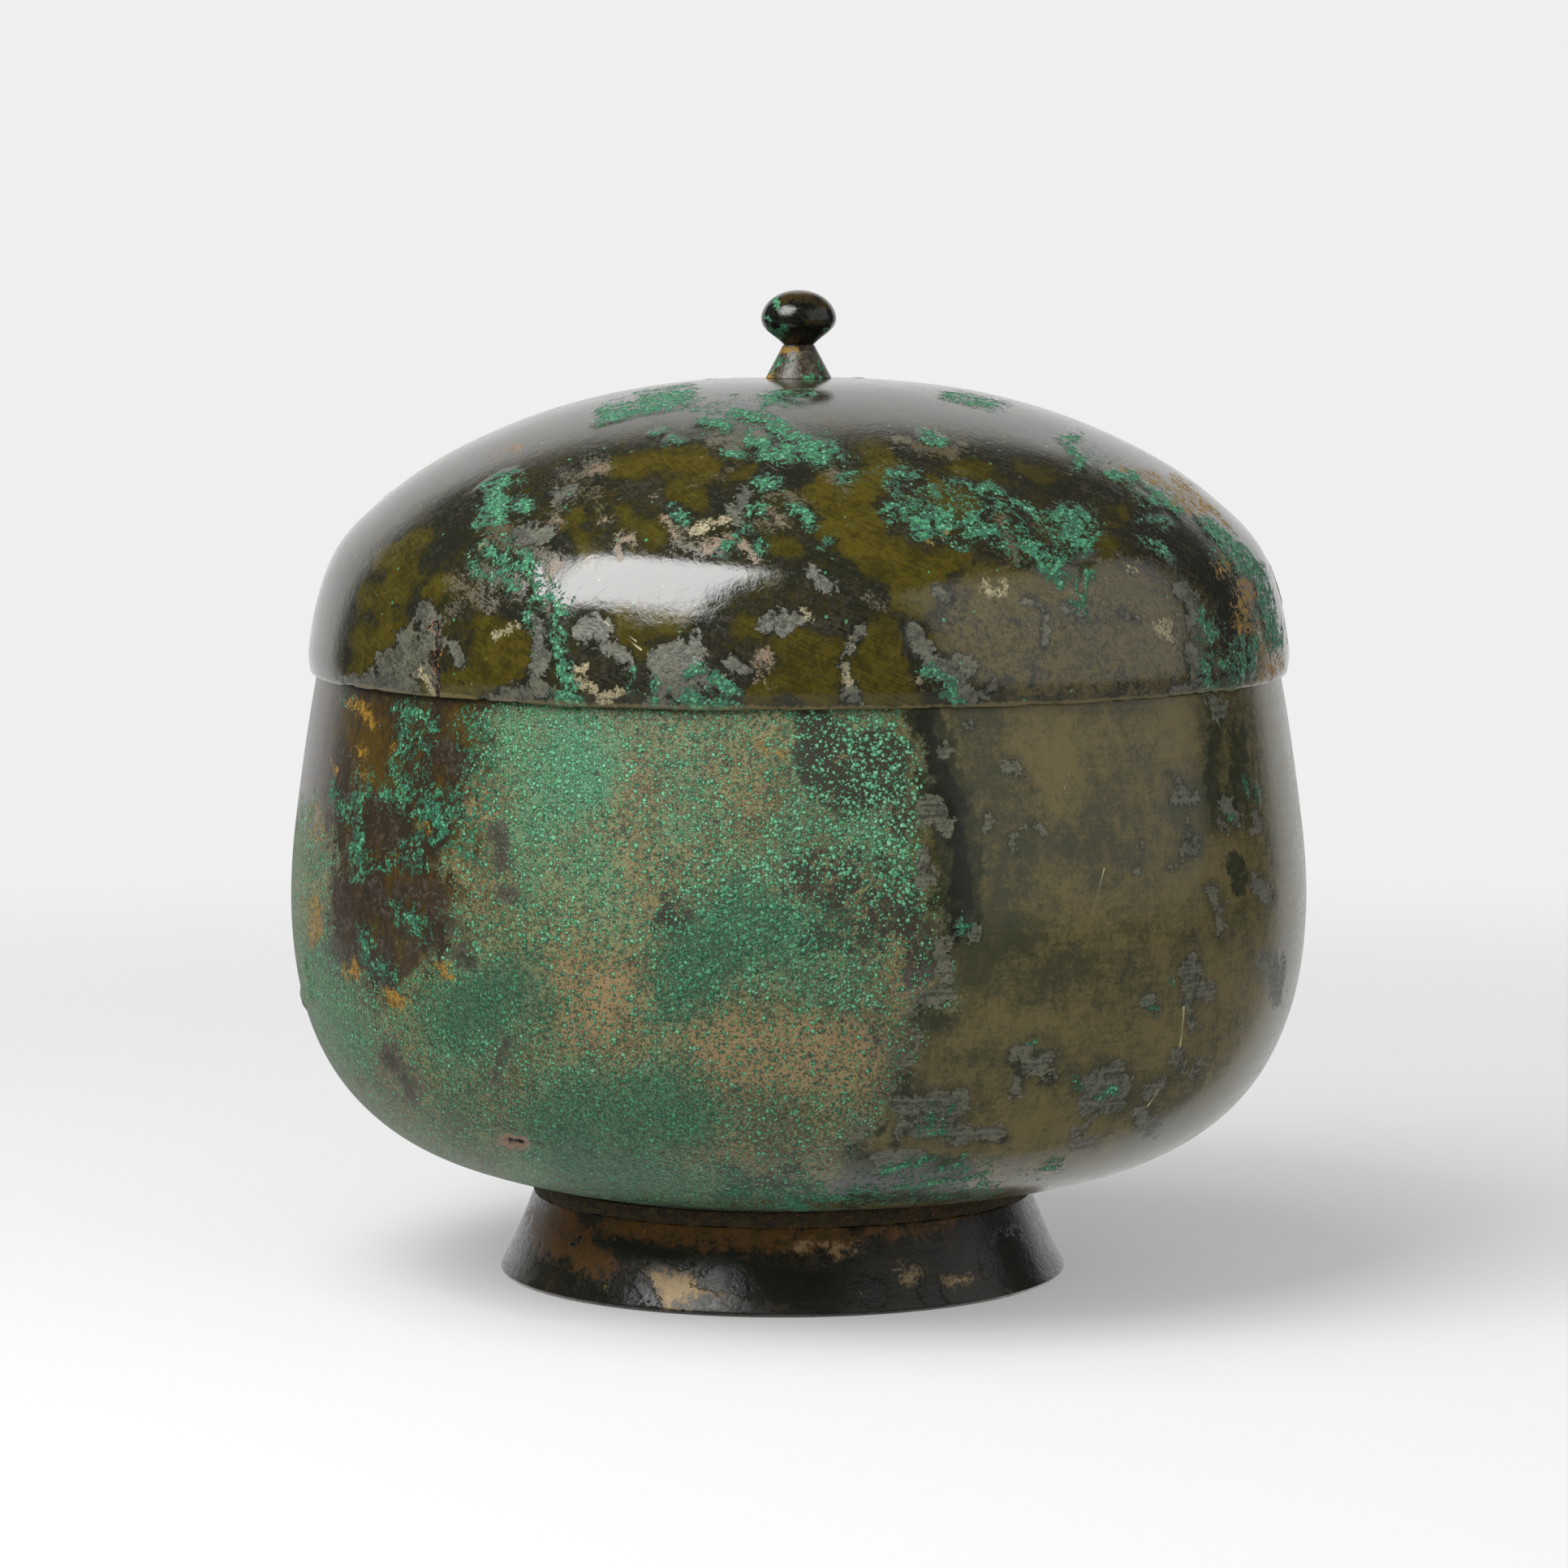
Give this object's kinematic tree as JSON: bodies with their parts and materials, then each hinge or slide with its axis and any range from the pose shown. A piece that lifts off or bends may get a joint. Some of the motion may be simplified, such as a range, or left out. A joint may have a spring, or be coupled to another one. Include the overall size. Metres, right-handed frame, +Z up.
{
  "type": "bronze lidded bowl",
  "caption": "Round bronze food bowl on a flared foot, with a domed lift-off lid whose edge drops over the mouth and a small bead knob to lift it by.",
  "frame": {"origin": "on the table, under the axis of the bowl", "axes": "+Z up the axis of the bowl, towards the knob; the view of the picture looks along +Y with +X to the right"},
  "size_m": [0.16, 0.16, 0.1549],
  "materials": {
    "bowl_bronze": "satin olive-brown bronze with granular blue-green verdigris",
    "foot_bronze": "dark worn bronze with black spots and ochre-brown bare metal",
    "solder_crust": "matte brown solder and corrosion",
    "lid_bronze": "glossy olive bronze with grey losses and green crust",
    "collar_bronze": "grey-brown bronze with green and ochre crust",
    "bead_bronze": "glossy black bronze",
    "washer_bronze": "dull brown bronze"
  },
  "bodies": {
    "bowl": {"bowl_shell": "bowl_bronze", "foot_ring": "foot_bronze", "foot_solder": "solder_crust"},
    "lid": {"lid_shell": "lid_bronze", "knob_collar": "collar_bronze", "knob_bead": "bead_bronze", "knob_washer": "washer_bronze"}
  },
  "joints": [
    {"name": "lid_lift", "type": "slide", "parent": "bowl", "child": "lid", "axis": [0, 0, 1], "range_m": [0, 0.04]}
  ]
}
